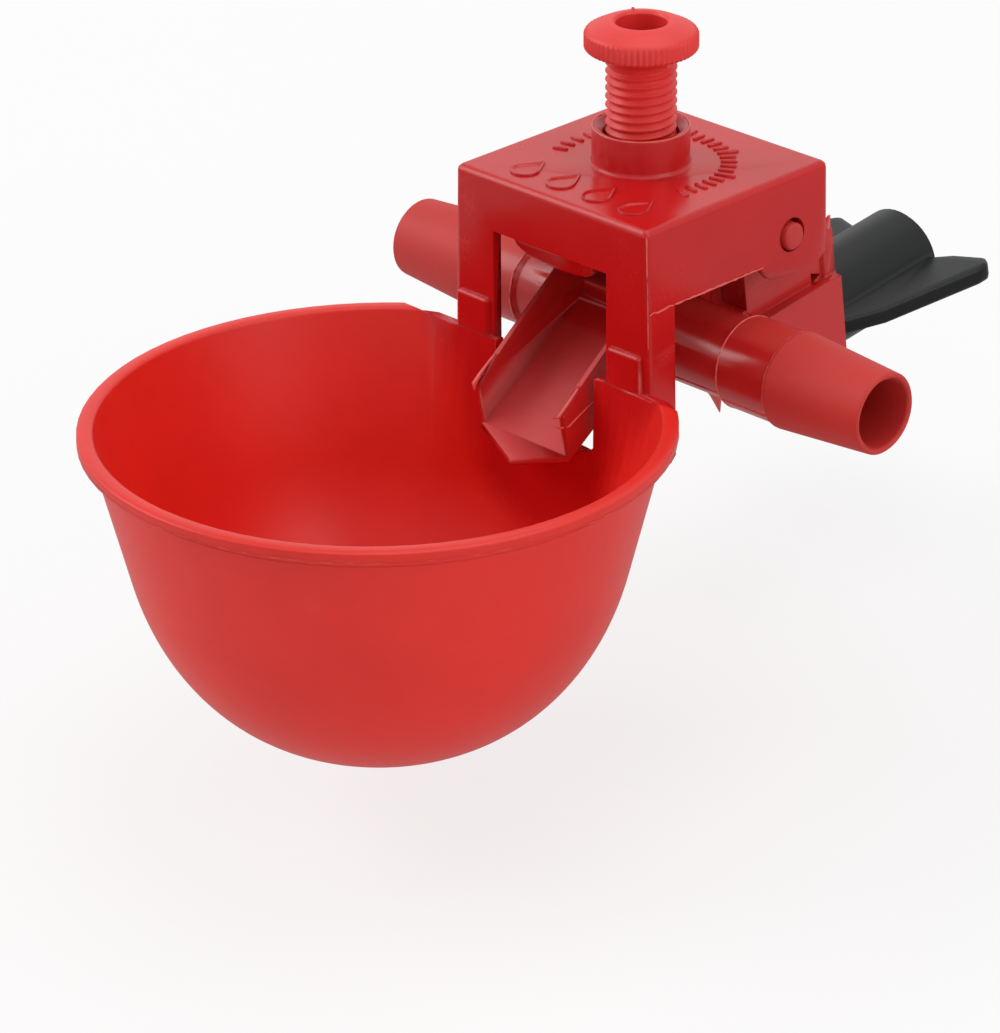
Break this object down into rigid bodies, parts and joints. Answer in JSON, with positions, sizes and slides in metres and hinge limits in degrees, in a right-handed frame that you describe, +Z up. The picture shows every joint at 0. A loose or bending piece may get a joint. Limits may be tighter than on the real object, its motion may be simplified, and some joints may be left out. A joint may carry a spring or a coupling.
{
  "type": "poultry drinking cup",
  "caption": "Small red tilting drinking cup for poultry: round-bottomed cup hung on legs from a square cover, tee valve with hose barbs, adjusting screw, stud with wing nut.",
  "frame": {"origin": "on the stud's axis, at the rear face of the mounting plate", "axes": "+Y along the stud away from the cup, +X along the tee to the cup's right as seen from its front, +Z up"},
  "size_m": [0.0904, 0.1491, 0.0847],
  "materials": {
    "cup_red": "glossy moulded red",
    "body_red": "glossy moulded red, duller on the barbs",
    "screw_red": "satin moulded lighter red",
    "rubber": "dull black",
    "steel": "bright wire",
    "nut_black": "satin black"
  },
  "bodies": {
    "body": {"valve_body": "body_red", "return_spring": "steel"},
    "cup": {"cup_frame": "cup_red"},
    "pad": {"valve_pad": "rubber"},
    "screw": {"adjusting_screw": "screw_red"},
    "nut": {"wing_nut": "nut_black"}
  },
  "joints": [
    {"name": "cup_tilt", "type": "hinge", "parent": "body", "child": "cup", "pos_m": [0, -0.013, 0.027], "axis": [1, 0, 0], "range_deg": [0, 7.2], "stiffness_Nm_per_rad": 0.18, "springref_deg": -6.99, "deforming": ["return_spring"]},
    {"name": "screw_travel", "type": "slide", "parent": "cup", "child": "pad", "axis": [0, 0.1264, 0.992], "range_m": [0, 0.00375]},
    {"name": "screw_turn", "type": "hinge", "parent": "pad", "child": "screw", "pos_m": [0, -0.02214, 0.04268], "axis": [0, 0.1264, 0.992], "range_deg": [0, 1080]},
    {"name": "nut_turn", "type": "hinge", "parent": "body", "child": "nut", "pos_m": [0, 0.0021, 0], "axis": [0, 1, 0], "continuous": true}
  ],
  "couplings": [
    {"joint": "screw_turn", "follows": "screw_travel", "rad_per_m": 5026.5}
  ]
}
